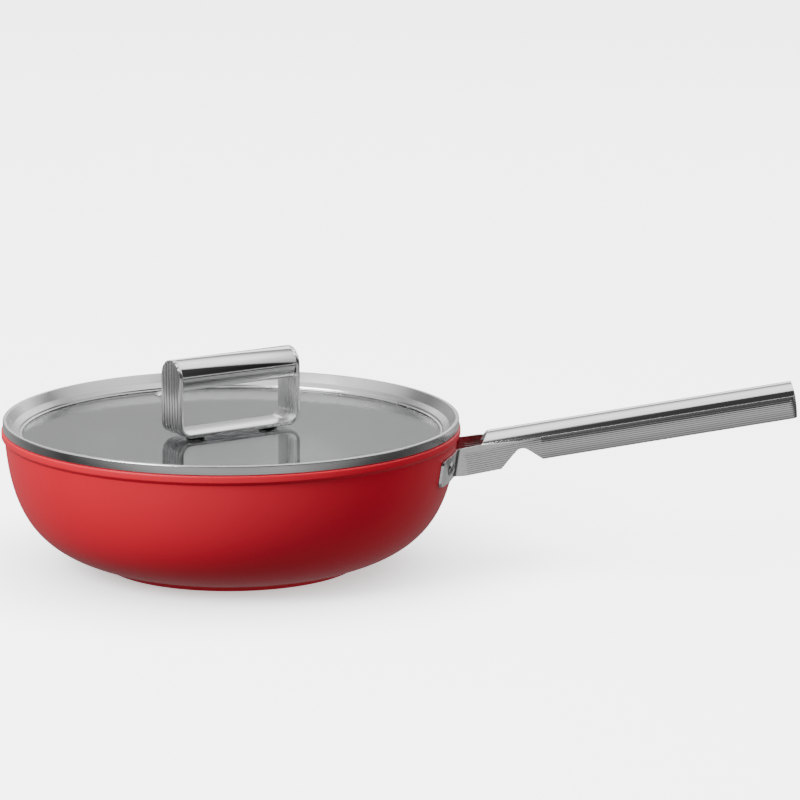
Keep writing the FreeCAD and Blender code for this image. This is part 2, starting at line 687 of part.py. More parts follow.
def loop_line():
    """Middle line of the lid handle's bent strap, and its bends."""
    side = (LOOP_LENGTH - LOOP_GAUGE) / 2
    low = PLATE_UNDER + LOOP_GAUGE / 2
    points = [flat(-side, LOOP_TOP), flat(-side, low), flat(side, low), flat(side, LOOP_TOP)]
    return points, [LOOP_CORNER - LOOP_GAUGE / 2] * 2


def grip_section(radius, depth):
    """Half-round section of the grip, hung from the top of the lid handle."""
    return lowered(half_round(radius, depth), LOOP_WIDTH / 2 - radius - LOOP_TOP)


def make_lid_loop():
    points, bends = loop_line()
    half = LOOP_GAUGE / 2
    strap = wall_through_y(ribbon(points, bends, half, half), LOOP_WIDTH)
    form = bar_along_x(grip_section(LOOP_WIDTH / 2, LOOP_HEIGHT), -FAR, FAR)
    skin = wall_through_y(ribbon(points, bends, LOOP_GROOVE_DEPTH - half, half))
    ends = LOOP_LENGTH / 2 - LOOP_CORNER
    skin = skin.cut(wall_through_y(rectangle(-ends, -FAR, ends, FAR)))
    pitch = LOOP_WIDTH / LOOP_RIBS
    grooves = []
    for index in range(1, LOOP_RIBS):
        middle = index * pitch - LOOP_WIDTH / 2
        layer = Part.makeBox(2 * FAR, LOOP_GROOVE, 2 * FAR,
                             Vector(-FAR, middle - LOOP_GROOVE / 2, -FAR))
        grooves.append(skin.common(layer))
    return strap.common(form).cut(grooves)


def make_grip_top():
    outer = grip_section(LOOP_WIDTH / 2, LOOP_WIDTH)
    inner = grip_section(LOOP_WIDTH / 2 - GRIP_WALL, LOOP_WIDTH)
    grip = bar_along_x(outer, -GRIP_END, GRIP_END).cut(bar_along_x(inner, -FAR, FAR))
    return grip.common(slab(LOOP_TOP - GRIP_DEPTH, LOOP_TOP))


def make_grip_insert():
    seam = LOOP_TOP - GRIP_DEPTH
    low = LOOP_TOP - INSERT_DEPTH
    half = LOOP_WIDTH / 2 - INSERT_STEP
    core = bar_along_x(grip_section(LOOP_WIDTH / 2 - GRIP_WALL - INSERT_FIT, LOOP_WIDTH),
                       -GRIP_END, GRIP_END).common(slab(seam, LOOP_TOP))
    section = outline([flat(-half, low), flat(half, low), flat(half, seam), flat(-half, seam)],
                      {0: INSERT_ROUND, 1: INSERT_ROUND})
    insert = core.fuse(bar_along_x(section, -GRIP_END, GRIP_END))
    for end in (-GRIP_END, GRIP_END - SLOT_WIDTH):
        slot = wall_through_y(rectangle(end, LOOP_TOP - SLOT_BOTTOM,
                                        end + SLOT_WIDTH, LOOP_TOP - SLOT_TOP))
        insert = insert.cut(slot)
    return one_solid(insert)


def at_posts(piece):
    copies = []
    for place in POSTS:
        copy = piece.copy()
        copy.translate(Vector(place, 0, 0))
        copies.append(copy)
    return Part.makeCompound(copies)


def make_lid_posts():
    return at_posts(tube(POST_RADIUS, SCREW_RADIUS, GLASS_UNDER + POST_SHY, PLATE_UNDER))


def make_lid_grommets():
    flange = peg(GROMMET_FLANGE, GLASS_TOP, PLATE_UNDER)
    sleeve = peg(GROMMET_SLEEVE, GLASS_UNDER, GLASS_TOP)
    return at_posts(one_solid(flange.fuse(sleeve).cut(peg(GROMMET_BORE, -FAR, FAR))))


def make_soft_washers():
    low = GLASS_UNDER - WASHER_THICK
    return at_posts(tube(WASHER_RADIUS, SCREW_RADIUS + FIXING_FIT, low, GLASS_UNDER))


def make_steel_washers():
    high = GLASS_UNDER - WASHER_THICK
    return at_posts(tube(CUP_RADIUS, SCREW_RADIUS + FIXING_FIT, high - CUP_THICK, high))


def make_lid_screws():
    seat = GLASS_UNDER - WASHER_THICK - CUP_THICK
    low = seat - SCREW_HEAD_THICK
    head = peg(SCREW_HEAD, low, seat)
    lower_edge = min(head.Edges, key=lambda edge: edge.CenterOfMass.z)
    head = head.makeFillet(SCREW_HEAD_ROUND, [lower_edge])
    shank = peg(SCREW_RADIUS, seat, PLATE_UNDER - SCREW_TIP)
    screw = one_solid(head.fuse(shank))
    return at_posts(screw.cut(hexagon(SOCKET_ACROSS, low, low + SOCKET_DEPTH)))


def on_rim(shape):
    return moved(shape, LID_FRAME)


# ================================================================ all pieces
def make_pieces():
    holes = rivet_holes()
    return {
        "wok_shell": make_bowl().cut(holes),
        "nonstick_lining": make_lining().cut(holes),
        "induction_disc": make_induction_disc(),
        "handle_strap": make_handle_strap(),
        "handle_top": make_handle_top(),
        "handle_core": make_handle_core(),
        "handle_studs": make_handle_studs(),
        "handle_nuts": make_handle_nuts(),
        "pad_rivets": make_pad_rivets(),
        "lid_glass": on_rim(make_lid_glass()),
        "lid_ring": on_rim(make_lid_ring()),
        "ring_seal": on_rim(make_ring_seal()),
        "vent_eyelet": on_rim(make_vent_eyelet()),
        "vent_washer": on_rim(make_vent_washer()),
        "lid_loop": on_rim(make_lid_loop()),
        "grip_top": on_rim(make_grip_top()),
        "grip_insert": on_rim(make_grip_insert()),
        "lid_posts": on_rim(make_lid_posts()),
        "lid_grommets": on_rim(make_lid_grommets()),
        "soft_washers": on_rim(make_soft_washers()),
        "steel_washers": on_rim(make_steel_washers()),
        "lid_screws": on_rim(make_lid_screws()),
    }


os.makedirs("parts", exist_ok=True)
for name, shape in make_pieces().items():
    shape.exportStep(f"parts/{name}.step")
    print(f"{name:16s} solids {len(shape.Solids)} valid {shape.isValid()} volume {shape.Volume:.1f}")
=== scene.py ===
import logging
import math
from dataclasses import dataclass
from enum import Enum
from typing import Protocol

import bmesh
import bpy
from mathutils import Euler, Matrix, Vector
from mathutils.geometry import interpolate_bezier


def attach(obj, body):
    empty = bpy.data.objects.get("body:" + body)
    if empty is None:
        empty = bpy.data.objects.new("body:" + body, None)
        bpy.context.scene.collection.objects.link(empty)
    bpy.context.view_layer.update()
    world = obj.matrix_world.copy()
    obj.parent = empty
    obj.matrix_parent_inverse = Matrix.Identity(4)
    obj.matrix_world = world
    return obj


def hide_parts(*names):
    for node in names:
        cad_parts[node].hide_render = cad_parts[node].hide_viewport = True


# Lidded wok: smooth shells, softened edges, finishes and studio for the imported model.
# Lengths are metres. The origin is the centre of the foot, +Z is up, +X is the long handle.

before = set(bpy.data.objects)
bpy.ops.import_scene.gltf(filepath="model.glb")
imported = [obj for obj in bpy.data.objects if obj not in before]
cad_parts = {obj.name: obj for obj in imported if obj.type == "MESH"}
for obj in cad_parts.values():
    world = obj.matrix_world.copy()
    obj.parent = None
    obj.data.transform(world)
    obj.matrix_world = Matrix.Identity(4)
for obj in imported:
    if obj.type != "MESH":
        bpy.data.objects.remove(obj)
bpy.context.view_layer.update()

log = logging.getLogger("wok")

ORIGIN = Vector((0.0, 0.0, 0.0))
UP = Vector((0.0, 0.0, 1.0))
LEVEL = (1.0, 1.0, 0.0)     # scale that leaves a place's height out
FULL_TURN = 360.0           # degrees
MERGE = 1e-6                # points this close are one
SHARP = math.radians(30)    # edges that turn more than this stay sharp in shading
FLAT = math.radians(0.5)    # edges that turn less than this lie in one plane
LATHE_STEPS = 224           # steps of a full turn
CURVE_STEPS = 48            # points along one of the bowl's curves
ROUND_STEPS = 5             # steps of a profile's rounded corner
SOFT_STEPS = 2              # steps of a softened edge
NOISE_LOW = 0.3             # most of a noise lies between these two
NOISE_HIGH = 0.7
PLAIN = 2.0                 # finer noises that lie on a plain noise
RICH = 3.0                  # and on a rich one
EDGE_SAMPLES = 6            # rays that look for an edge
WEAR_AND_HIGHLIGHT_FULL = 0.8             # cosine of how far rounding turns a place with full rubbing and full painted highlight
WEAR_AND_HIGHLIGHT_END = 0.995            # and of how far it turns one where the rubbing and the painted highlight end

Socket = bpy.types.NodeSocket
Triple = tuple[float, float, float]
Colour = Triple
Pair = tuple[float, float]


class Body(Enum):
    """The two things that move apart."""

    WOK = "wok"
    LID = "lid"


class Slot(Enum):
    """The record's material slots, given along with the new pieces."""

    RED = "red_enamel"
    NONSTICK = "nonstick"
    POLISHED = "polished_steel"
    SATIN = "satin_steel"
    RING = "ring_steel"


# ================================================================ shader graphs
class Nodes:
    """A node tree, with short ways to add and join its nodes."""

    def __init__(self, tree: bpy.types.NodeTree) -> None:
        """Take a tree."""
        self.tree = tree

    def add(self, kind: str, **settings: object) -> bpy.types.Node:
        """Add a node.

        Args:
            kind: The node's type.
            **settings: Attributes of the node.

        Returns:
            The new node.
        """
        node = self.tree.nodes.new(kind)
        for key, value in settings.items():
            setattr(node, key, value)
        return node

    def fill(self, node: bpy.types.Node, **values: object) -> bpy.types.Node:
        """Set constants on a node's sockets.

        Args:
            node: The node.
            **values: The constants, by socket name with underscores for spaces.

        Returns:
            The node.
        """
        for key, value in values.items():
            node.inputs[key.replace("_", " ")].default_value = value
        return node

    def join(self, source: Socket, target: Socket) -> None:
        """Link two sockets."""
        self.tree.links.new(source, target)

    def split(self, place: Socket) -> tuple[Socket, Socket, Socket]:
        """Take a place apart.

        Args:
            place: The place.

        Returns:
            Its X, Y and Z.
        """
        node = self.add("ShaderNodeSeparateXYZ")
        self.join(place, node.inputs["Vector"])
        return node.outputs["X"], node.outputs["Y"], node.outputs["Z"]

    def compute(self, operation: str, first: Socket, second: Socket | float = 0.0) -> Socket:
        """Work out a value.

        Args:
            operation: The Math node's operation.
            first: Its first value.
            second: Its second value, or a number.

        Returns:
            The result.
        """
        node = self.add("ShaderNodeMath", operation=operation)
        self.join(first, node.inputs[0])
        if isinstance(second, Socket):
            self.join(second, node.inputs[1])
        else:
            node.inputs[1].default_value = second
        return node.outputs["Value"]

    def spread(self, value: Socket, low: float, high: float,
               start: float = NOISE_LOW, end: float = NOISE_HIGH) -> Socket:
        """Map a value to another range, and hold it there.

        Args:
            value: The value.
            low: What start becomes.
            high: What end becomes.
            start: Start of the value's range.
            end: End of the value's range.

        Returns:
            The mapped value.
        """
        node = self.add("ShaderNodeMapRange")
        self.fill(node, From_Min=start, From_Max=end, To_Min=low, To_Max=high)
        self.join(value, node.inputs["Value"])
        return node.outputs["Result"]


class Graph(Nodes):
    """One material's nodes, with a Principled shader at the end."""

    def __init__(self, name: str) -> None:
        """Start an empty material.

        Args:
            name: The material's name.
        """
        self.material = bpy.data.materials.new(name)
        self.material.use_nodes = True
        super().__init__(self.material.node_tree)
        self.tree.nodes.clear()
        output = self.add("ShaderNodeOutputMaterial")
        self.shader = self.add("ShaderNodeBsdfPrincipled")
        self.join(self.shader.outputs["BSDF"], output.inputs["Surface"])
        self.at = self.add("ShaderNodeTexCoord").outputs["Object"]

    def put(self, **values: object) -> None:
        """Set constants on the shader, by socket name with underscores for spaces."""
        self.fill(self.shader, **values)

    def feed(self, socket: str, value: Socket) -> None:
        """Link a value to the shader."""
        self.join(value, self.shader.inputs[socket])

    def place(self, origin: Vector, turn: Euler) -> Socket:
        """Object coordinates in a turned frame.

        Args:
            origin: The frame's origin.
            turn: The frame's turn.

        Returns:
            The place in that frame.
        """
        local = self.add("ShaderNodeMapping", vector_type="TEXTURE")
        self.fill(local, Location=origin, Rotation=turn)
        self.join(self.at, local.inputs["Vector"])
        return local.outputs["Vector"]

    def stretch(self, place: Socket, scale: Triple) -> Socket:
        """Multiply a place, axis by axis.

        Args:
            place: The place.
            scale: The number for each axis.

        Returns:
            The new place.
        """
        node = self.add("ShaderNodeVectorMath", operation="MULTIPLY")
        node.inputs[1].default_value = scale
        self.join(place, node.inputs[0])
        return node.outputs["Vector"]

    def noise(self, place: Socket, scale: float, detail: float = PLAIN) -> Socket:
        """Noise at a place.

        Args:
            place: The place.
            scale: How fine the noise is.
            detail: How many finer noises are laid on it.

        Returns:
            The noise, from 0 to 1.
        """
        node = self.fill(self.add("ShaderNodeTexNoise"), Scale=scale, Detail=detail)
        self.join(place, node.inputs["Vector"])
        return node.outputs["Fac"]

    def mix(self, share: Socket, first: Colour | Socket, second: Colour) -> Socket:
        """Mix two colours.

        Args:
            share: How much of the second colour there is.
            first: The first colour.
            second: The second colour.

        Returns:
            The mixed colour.
        """
        node = self.add("ShaderNodeMix", data_type="RGBA")
        base, tint = node.inputs[6], node.inputs[7]
        if isinstance(first, Socket):
            self.join(first, base)
        else:
            base.default_value = (*first, 1.0)
        tint.default_value = (*second, 1.0)
        self.join(share, node.inputs[0])
        return node.outputs[2]

    def bump(self, height: Socket, distance: float, under: Socket | None = None) -> Socket:
        """Turn a height from 0 to 1 into a surface direction.

        Args:
            height: The height.
            distance: How high 1 is, in metres.
            under: A surface direction to lay this on.

        Returns:
            The new surface direction.
        """
        node = self.fill(self.add("ShaderNodeBump"), Distance=distance)
        self.join(height, node.inputs["Height"])
        if under is not None:
            self.join(under, node.inputs["Normal"])
        return node.outputs["Normal"]

    def rounded(self, radius: float) -> Socket:
        """Surface direction with the edges rounded by a radius."""
        node = self.add("ShaderNodeBevel", samples=EDGE_SAMPLES)
        return self.fill(node, Radius=radius).outputs["Normal"]

    def edge_wear_and_highlight(self, reach: float) -> Socket:
        """How much rubbing a place shows, and how much painted highlight, by how near it is to an
        edge.

        Args:
            reach: How far from an edge the rubbing and the painted highlight go.

        Returns:
            0 on a face, and 1 on an edge.
        """
        node = self.add("ShaderNodeVectorMath", operation="DOT_PRODUCT")
        self.join(self.rounded(reach), node.inputs[0])
        self.join(self.add("ShaderNodeNewGeometry").outputs["Normal"], node.inputs[1])
        return self.spread(node.outputs["Value"], 1.0, 0.0, WEAR_AND_HIGHLIGHT_FULL, WEAR_AND_HIGHLIGHT_END)


# ================================================================ finishes
def grey(level: float) -> Colour:
    """A grey of a level from 0 to 1."""
    return (level, level, level)


def scaled(colour: Colour, factor: float) -> Colour:
    """A colour times a factor, no brighter than white."""
    return tuple(min(1.0, channel * factor) for channel in colour)


class Finish(Protocol):
    """Anything that can make a material of its own name."""

    name: str

    def make(self) -> bpy.types.Material:
        """Build the material."""


@dataclass(frozen=True)
class Coating:
    """A satin coating with a very fine orange-peel, paler at its edges from rubbing and from a
    painted highlight.
    """

    name: str
    colour: Colour
    deep: Colour
    # Colour of the edges: partly rubbing, partly a painted highlight.
    edge_rub_and_highlight: Colour
    roughness: Pair
    cloud: float = 22.0                 # scale of the slow drift between the two colours
    patch: float = 260.0                # scale of the patches that rubbing leaves, which the painted edge highlight follows too
    rub_and_highlight_patches: Pair = (0.15, 0.75)    # how much rubbing and painted highlight show between them and on them
    rub_and_highlight_reach: float = 0.0007
    grain: float = 1500.0               # scale of the orange-peel
    grain_height: float = 0.00002
    edge: float = 0.0004                # radius of the edges in shading
    gloss: float = 0.25

    def make(self) -> bpy.types.Material:
        """Build the material.

        Returns:
            The material.
        """
        graph = Graph(self.name)
        body = graph.mix(graph.noise(graph.at, self.cloud, detail=RICH), self.colour, self.deep)
        patches = graph.noise(graph.at, self.patch, detail=RICH)
        # Paler edges, partly rubbing and partly a painted highlight.
        rub_and_highlight_share = graph.compute("MULTIPLY", graph.edge_wear_and_highlight(self.rub_and_highlight_reach),
                             graph.spread(patches, *self.rub_and_highlight_patches))
        graph.feed("Base Color", graph.mix(rub_and_highlight_share, body, self.edge_rub_and_highlight))
        grain = graph.noise(graph.at, self.grain)
        graph.feed("Roughness", graph.spread(grain, *self.roughness))
        graph.feed("Normal", graph.bump(grain, self.grain_height, graph.rounded(self.edge)))
        graph.put(Specular_IOR_Level=self.gloss)
        return graph.material


@dataclass(frozen=True)
class Speckle:
    """A non-stick coating: dark, with fine light specks and a sprayed grain."""

    name: str
    colour: Colour
    speck: Colour
    roughness: Pair
    specks: float = 620.0               # scale of the specks
    speck_edge: Pair = (0.1, 0.24)      # distances from its middle between which one fades
    patch: float = 300.0                # scale of the patches that hold specks
    patch_edge: Pair = (0.45, 0.6)      # noise between which specks come in
    patch_detail: float = 1.0
    grain: float = 1700.0               # scale of the sprayed grain
    grain_height: float = 0.00003
    edge: float = 0.0002                # radius of the edges in shading

    def make(self) -> bpy.types.Material:
        """Build the material.

        Returns:
            The material.
        """
        graph = Graph(self.name)
        cells = graph.fill(graph.add("ShaderNodeTexVoronoi"), Scale=self.specks)
        graph.join(graph.at, cells.inputs["Vector"])
        speck = graph.spread(cells.outputs["Distance"], 1.0, 0.0, *self.speck_edge)
        patches = graph.noise(graph.at, self.patch, self.patch_detail)
        held = graph.spread(patches, 0.0, 1.0, *self.patch_edge)
        graph.feed("Base Color", graph.mix(graph.compute("MULTIPLY", speck, held),
                                           self.colour, self.speck))
        grain = graph.noise(graph.at, self.grain)
        graph.feed("Roughness", graph.spread(grain, *self.roughness))
        graph.feed("Normal", graph.bump(grain, self.grain_height, graph.rounded(self.edge)))
        return graph.material


@dataclass(frozen=True)
class LinedSteel:
    """Steel with fine lines along one direction of a turned frame, brighter at its edges from
    rubbing and from a painted highlight.
    """

    name: str
    tint: Colour
    roughness: Pair
    line_height: float
    origin: Vector = ORIGIN
    turn: Euler = Euler()
    lines: Triple = (7.0, 2400.0, 2400.0)   # how fine the lines are along each axis
    edge: float = 0.0003                    # radius of the edges in shading
    contrast: float = 0.12                  # how much darker the lines are
    wide: float = 0.16                      # scale of the wider lines in its roughness
    edge_rub_and_highlight: float = 1.15                    # how much brighter its edges are, from rubbing and from a painted highlight
    rub_and_highlight_reach: float = 0.0004

    def make(self) -> bpy.types.Material:
        """Build the material.

        Returns:
            The material.
        """
        graph = Graph(self.name)
        place = graph.place(self.origin, self.turn)
        lined = graph.stretch(place, self.lines)
        fine = graph.noise(lined, scale=1.0, detail=RICH)
        dark = scaled(self.tint, 1.0 - self.contrast)
        body = graph.mix(graph.spread(fine, 0.0, 1.0), dark, self.tint)
        # Brighter edges, partly rubbing and partly a painted highlight.
        body = graph.mix(graph.edge_wear_and_highlight(self.rub_and_highlight_reach), body, scaled(self.tint, self.edge_rub_and_highlight))
        graph.feed("Base Color", self.shade(graph, place, body))
        graph.feed("Roughness", graph.spread(graph.noise(lined, self.wide), *self.roughness))
        graph.feed("Normal", self.surface(graph, place, fine))
        graph.put(Metallic=1.0)
        return graph.material

    def shade(self, graph: Graph, place: Socket, body: Socket) -> Socket:
        """Colour of the steel, for a kind of steel to paint shade into where it needs to."""
        return body

    def surface(self, graph: Graph, place: Socket, fine: Socket) -> Socket:
        """Lay the lines' relief on the rounded edges."""
        return graph.bump(fine, self.line_height, graph.rounded(self.edge))


@dataclass(frozen=True)
class RibbedSteel(LinedSteel):
    """Lined steel with crowned ribs below a border, slightly bowed from edge to edge, with
    painted shade in the grooves.
    """

    start: float = -0.0185              # where the ribs start, along the handle
    fade: float = 0.002                 # length over which they rise
    border: float = 0.0094              # depth of the plain border above them
    pitch: float = 0.00145              # from groove to groove
    crown: float = 0.00006              # how high a rib's crown stands
    # Colour of the painted shade in the grooves.
    groove_shade: Colour = grey(0.22)
    groove_shade_share: float = 0.7           # how much of the painted shade a groove's bottom shows
    groove_shade_edge: Pair = (0.15, 0.7)     # heights between which that painted shade fades
    bow_middle: float = 0.0145          # depth of the bow's middle
    bow_radius: float = 0.034
    bow_start: Pair = (0.0, 0.04)       # stretch of the handle over which the bow comes in

    def relief(self, graph: Graph, place: Socket) -> Socket:
        """Height of the ribs.

        Args:
            graph: The material's graph.
            place: The place in the steel's own frame.

        Returns:
            0 in a groove, and 1 on a rib's crown and on the plain steel.
        """
        along, _, up = graph.split(place)
        depth = graph.compute("MULTIPLY", up, -1.0)
        turns = graph.compute("MULTIPLY", graph.compute("SUBTRACT", depth, self.border),
                              math.pi / self.pitch)
        crown = graph.compute("ABSOLUTE", graph.compute("SINE", turns))
        above = graph.compute("LESS_THAN", depth, self.border)
        before = graph.spread(along, 1.0, 0.0, self.start, self.start + self.fade)
        return graph.compute("MAXIMUM", crown, graph.compute("MAXIMUM", above, before))

    def shade(self, graph: Graph, place: Socket, body: Socket) -> Socket:
        """Darken the grooves with painted shade."""
        share = graph.spread(self.relief(graph, place), self.groove_shade_share, 0.0, *self.groove_shade_edge)
        return graph.mix(share, body, self.groove_shade)

    def surface(self, graph: Graph, place: Socket, fine: Socket) -> Socket:
        """Lay the bow, the ribs' crowns and the lines on the rounded edges.

        Args:
            graph: The material's graph.
            place: The place in the steel's own frame.
            fine: The lines' height.

        Returns:
            The surface direction.
        """
        along, _, up = graph.split(place)
        off = graph.compute("ADD", up, self.bow_middle)
        square = graph.compute("MULTIPLY", off, off)
        fall = graph.compute("MULTIPLY", square, -0.5 / self.bow_radius)
        share = graph.spread(along, 0.0, 1.0, *self.bow_start)
        bow = graph.bump(graph.compute("MULTIPLY", fall, share), 1.0, graph.rounded(self.edge))
        ribs = graph.bump(self.relief(graph, place), self.crown, bow)
        return graph.bump(fine, self.line_height, ribs)


@dataclass(frozen=True)
class LoopSteel(LinedSteel):
    """Lined steel of the lid handle's strap, with painted shade in the grooves down its ends and
    corners.
    """

    width: float = 0.024                # of the strap
    ribs: int = 7                       # how many lie across it, with a groove between two
    plain: float = 0.0113               # beyond this, to either side, there is no groove
    corner: float = 0.038               # centre of the lower corners, along the strap
    corner_rise: float = 0.0999         # and its height
    skin: float = 0.0077                # the outer side lies farther than this from it
    # Colour of the painted shade in the grooves.
    groove_shade: Colour = grey(0.1)
    groove_shade_share: float = 0.85          # how much of the painted shade a groove's bottom shows
    groove_shade_edge: Pair = (0.3, 0.5)      # heights between which that painted shade fades

    def groove_shading(self, graph: Graph, across: Socket) -> Socket:
        """Painted shade in the grooves side by side across the strap.

        Args:
            graph: The material's graph.
            across: The place across the strap.

        Returns:
            How much of the painted shade's colour there is.
        """
        turns = graph.compute("MULTIPLY", graph.compute("ADD", across, self.width / 2),
                              math.pi * self.ribs / self.width)
        height = graph.compute("ABSOLUTE", graph.compute("SINE", turns))
        line = graph.spread(height, self.groove_shade_share, 0.0, *self.groove_shade_edge)
        within = graph.compute("LESS_THAN", graph.compute("ABSOLUTE", across), self.plain)
        return graph.compute("MULTIPLY", line, within)

    def outside(self, graph: Graph, along: Socket, up: Socket) -> Socket:
        """Tell the strap's outer side from the rest.

        Args:
            graph: The material's graph.
            along: The place along the strap.
            up: The place's height.

        Returns:
            1 on the outer side of the uprights and the lower corners, and 0 elsewhere.
        """
        out = graph.compute("SUBTRACT", graph.compute("ABSOLUTE", along), self.corner)
        below = graph.compute("MULTIPLY", graph.compute("SUBTRACT", up, self.corner_rise), -1.0)
        down = graph.compute("MAXIMUM", below, 0.0)
        squares = graph.compute("ADD", graph.compute("MULTIPLY", out, out),
                                graph.compute("MULTIPLY", down, down))
        far = graph.compute("SQRT", squares)
        return graph.compute("MULTIPLY", graph.compute("GREATER_THAN", out, 0.0),
                             graph.compute("GREATER_THAN", far, self.skin))

    def shade(self, graph: Graph, place: Socket, body: Socket) -> Socket:
        """Paint shade into the grooves on the strap's outer side.

        Args:
            graph: The material's graph.
            place: The place in the steel's own frame.
            body: The steel's colour.

        Returns:
            The colour with painted shade in its grooves.
        """
        along, across, up = graph.split(place)
        share = graph.compute("MULTIPLY", self.groove_shading(graph, across),
                              self.outside(graph, along, up))
        return graph.mix(share, body, self.groove_shade)


@dataclass(frozen=True)
class SpunSteel:
    """Steel turned on a lathe, with fine rings about the upright axis."""

    name: str
    tint: Colour
    roughness: Pair
    line_height: float
    rings: float = 2600.0               # scale of the rings
    contrast: float = 0.2               # how much darker the rings are
    drift: float = 34.0                 # scale of the slow drift of its roughness
    edge: float = 0.0002                # radius of the edges in shading

    def make(self) -> bpy.types.Material:
        """Build the material.

        Returns:
            The material.
        """
        graph = Graph(self.name)
        reach = graph.add("ShaderNodeVectorMath", operation="LENGTH")
        graph.join(graph.stretch(graph.at, LEVEL), reach.inputs[0])
        _, _, up = graph.split(graph.at)
        rings = graph.add("ShaderNodeTexNoise", noise_dimensions="1D")
        graph.fill(rings, Scale=self.rings)
        graph.join(graph.compute("ADD", reach.outputs["Value"], up), rings.inputs["W"])
        fine = rings.outputs["Fac"]
        dark = scaled(self.tint, 1.0 - self.contrast)
        graph.feed("Base Color", graph.mix(graph.spread(fine, 0.0, 1.0), dark, self.tint))
        drift = graph.noise(graph.at, self.drift, detail=RICH)
        graph.feed("Roughness", graph.spread(drift, *self.roughness))
        graph.feed("Normal", graph.bump(fine, self.line_height, graph.rounded(self.edge)))
        graph.put(Metallic=1.0)
        return graph.material


@dataclass(frozen=True)
class ClearGlass:
    """Tempered glass, almost without colour."""

    name: str
    tint: Colour
    smear: float = 18.0                 # scale of the faint smears
    roughness: Pair = (0.0, 0.02)
    index: float = 1.5

    def make(self) -> bpy.types.Material:
        """Build the material.

        Returns:
            The material.
        """
        graph = Graph(self.name)
        smears = graph.noise(graph.at, self.smear, detail=RICH)
        graph.feed("Roughness", graph.spread(smears, *self.roughness))
        graph.put(Base_Color=(*self.tint, 1.0), Transmission_Weight=1.0, IOR=self.index)
        return graph.material


@dataclass(frozen=True)
class Silicone:
    """Soft silicone with a dusty, matte skin."""

    name: str
    colour: Colour
    clear: float = 0.0                  # how much light goes through
    dust: float = 900.0                 # scale of the dust
    dust_bright: float = 1.3            # how much brighter it makes the colour
    dust_haze: float = 0.02             # and how much grey it adds
    dust_height: float = 0.00002
    roughness: Pair = (0.5, 0.72)

    def make(self) -> bpy.types.Material:
        """Build the material.

        Returns:
            The material.
        """
        graph = Graph(self.name)
        dust = graph.noise(graph.at, self.dust, detail=RICH)
        dusty = tuple(min(1.0, channel * self.dust_bright + self.dust_haze)
                      for channel in self.colour)
        graph.feed("Base Color", graph.mix(dust, self.colour, dusty))
        graph.feed("Roughness", graph.spread(dust, *self.roughness))
        graph.feed("Normal", graph.bump(dust, self.dust_height))
        graph.put(Transmission_Weight=self.clear)
        return graph.material


def plain_steel(name: str) -> LinedSteel:
    """Plain steel of small fixings."""
    return LinedSteel(name, grey(0.6), roughness=(0.25, 0.4), line_height=0.000004)


MADE: dict[str, bpy.types.Material] = {}    # the materials made so far, by name


def material_of(finish: Finish) -> bpy.types.Material:
    """The material of a finish, made the first time that it is asked for.

    Args:
        finish: The finish.

    Returns:
        Its material.
    """
    if finish.name not in MADE:
        MADE[finish.name] = finish.make()
    return MADE[finish.name]


# ================================================================ mesh tools
def bezier(poles: list[Vector]) -> list[Vector]:
    """Points along a cubic curve.

    Args:
        poles: Its four poles, each a radius and a height.

    Returns:
        The points, from the first pole to the last.
    """
    start, out, into, end = (Vector((pole.x, 0.0, pole.y)) for pole in poles)
    return [Vector((point.x, point.z)) for point in
            interpolate_bezier(start, out, into, end, CURVE_STEPS)]


def lathe(points: list[Vector], rounds: dict[int, float]) -> bmesh.types.BMesh:
    """Spin a profile of radius and height about the upright axis.

    Args:
        points: The profile's corners, in order.
        rounds: Rounding radius of some corners, by index.

    Returns:
        The spun surface, with its doubles merged and its faces pointing out.
    """
    mesh = bmesh.new()
    corners = [mesh.verts.new((point.x, 0.0, point.y)) for point in points]
    for start, end in zip(corners, corners[1:]):
        mesh.edges.new((start, end))
    for index, radius in rounds.items():
        before, here, after = points[index - 1:index + 2]
        half_turn = (here - before).angle(after - here) / 2
        bmesh.ops.bevel(mesh, geom=[corners[index]], offset=radius * math.tan(half_turn),
                        offset_type="OFFSET", affect="VERTICES", segments=ROUND_STEPS,
                        profile=0.5, material=-1)
    bmesh.ops.spin(mesh, geom=mesh.verts[:] + mesh.edges[:], cent=ORIGIN, axis=UP,
                   angle=math.tau, steps=LATHE_STEPS, use_merge=True)
    bmesh.ops.remove_doubles(mesh, verts=mesh.verts, dist=MERGE)
    bmesh.ops.recalc_face_normals(mesh, faces=mesh.faces)
    return mesh


def softened(node: str, width: float) -> bmesh.types.BMesh:
    """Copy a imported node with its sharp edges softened.

    Args:
        node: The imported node.
        width: Width of the softening.

    Returns:
        The softened copy.
    """
    mesh = bmesh.new()
    mesh.from_mesh(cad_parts[node].data)
    bmesh.ops.remove_doubles(mesh, verts=mesh.verts, dist=MERGE)
    bmesh.ops.dissolve_limit(mesh, angle_limit=FLAT, verts=mesh.verts, edges=mesh.edges)
    sharp = [edge for edge in mesh.edges if edge.calc_face_angle(0.0) > SHARP]
    bmesh.ops.bevel(mesh, geom=sharp, offset=width, offset_type="OFFSET", affect="EDGES",
                    segments=SOFT_STEPS, profile=0.5, material=-1, clamp_overlap=True)
    return mesh


